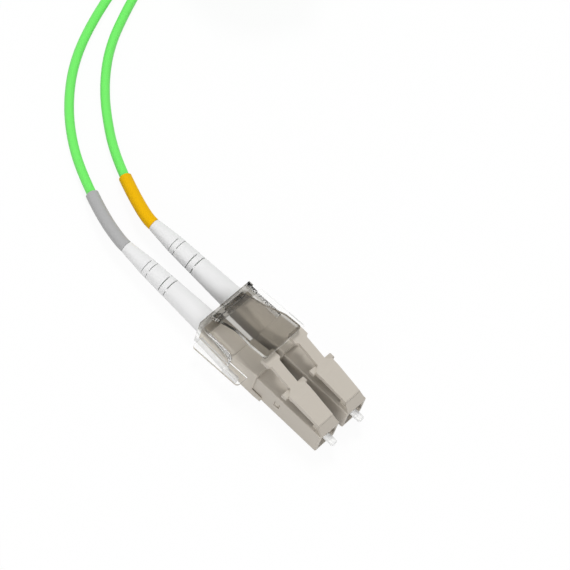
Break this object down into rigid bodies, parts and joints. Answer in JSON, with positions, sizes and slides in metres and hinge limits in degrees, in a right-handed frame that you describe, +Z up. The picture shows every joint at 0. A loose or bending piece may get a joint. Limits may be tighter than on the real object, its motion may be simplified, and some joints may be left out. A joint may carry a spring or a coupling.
{
  "type": "lc fibre connector",
  "caption": "Duplex LC fibre plug with sprung ferrules, latches under a clear trigger clip, white boots and green cords in a tied coil.",
  "frame": {"origin": "centre of the underside of the connector, halfway from the ferrule tips to the boot ends", "axes": "+X along the ferrules towards the mating side, +Y across the pair towards connector b, +Z up towards the latches"},
  "size_m": [0.0891, 0.0785, 0.0136],
  "materials": {
    "housing_beige": "fine satin moulding",
    "ceramic_white": "polished zirconia",
    "flange_metal": "turned",
    "spring_steel": "drawn wire",
    "aramid": "yarn",
    "crimp_steel": "plain",
    "boot_white": "soft matt",
    "buffer_white": "extruded",
    "cord_green": "extruded satin",
    "clip_clear": "clear polished",
    "sleeve_grey": "shrunk sleeve",
    "sleeve_yellow": "shrunk sleeve",
    "tie_white": "moulded"
  },
  "bodies": {
    "plug": {"front_housing_a": "housing_beige", "ferrule_spring_a": "spring_steel", "rear_body_a": "housing_beige", "aramid_yarn_a": "aramid", "crimp_ring_a": "crimp_steel", "boot_a": "boot_white", "buffered_fibre_a": "buffer_white", "cord_a": "cord_green", "clip_half_a": "clip_clear", "front_housing_b": "housing_beige", "ferrule_spring_b": "spring_steel", "rear_body_b": "housing_beige", "aramid_yarn_b": "aramid", "crimp_ring_b": "crimp_steel", "boot_b": "boot_white", "buffered_fibre_b": "buffer_white", "cord_b": "cord_green", "clip_half_b": "clip_clear", "id_sleeve_a": "sleeve_grey", "id_sleeve_b": "sleeve_yellow", "cord_coil": "cord_green", "coil_tie": "tie_white"},
    "trigger": {"trigger": "clip_clear"},
    "latch_a": {"latch_arm_a": "housing_beige"},
    "latch_b": {"latch_arm_b": "housing_beige"},
    "ferrule_unit_a": {"ferrule_a": "ceramic_white", "ferrule_flange_a": "flange_metal"},
    "ferrule_unit_b": {"ferrule_b": "ceramic_white", "ferrule_flange_b": "flange_metal"}
  },
  "joints": [
    {"name": "trigger_press", "type": "hinge", "parent": "plug", "child": "trigger", "pos_m": [-0.004, 0, 0.0055], "axis": [0, 1, 0], "range_deg": [0, 7], "stiffness_Nm_per_rad": 0.1},
    {"name": "latch_a_flex", "type": "hinge", "parent": "plug", "child": "latch_a", "pos_m": [0.01955, -0.00313, 0.0055], "axis": [0, -1, 0], "range_deg": [0, 6.2], "stiffness_Nm_per_rad": 0.05},
    {"name": "latch_b_flex", "type": "hinge", "parent": "plug", "child": "latch_b", "pos_m": [0.01955, 0.00313, 0.0055], "axis": [0, -1, 0], "range_deg": [0, 6.2], "stiffness_Nm_per_rad": 0.05},
    {"name": "ferrule_a_push", "type": "slide", "parent": "plug", "child": "ferrule_unit_a", "axis": [-1, 0, 0], "range_m": [0, 0.001], "stiffness_N_per_m": 500, "deforming": ["ferrule_spring_a"]},
    {"name": "ferrule_b_push", "type": "slide", "parent": "plug", "child": "ferrule_unit_b", "axis": [-1, 0, 0], "range_m": [0, 0.001], "stiffness_N_per_m": 500, "deforming": ["ferrule_spring_b"]}
  ],
  "couplings": [
    {"joint": "latch_a_flex", "follows": "trigger_press", "ratio": 0.886},
    {"joint": "latch_b_flex", "follows": "trigger_press", "ratio": 0.886}
  ]
}
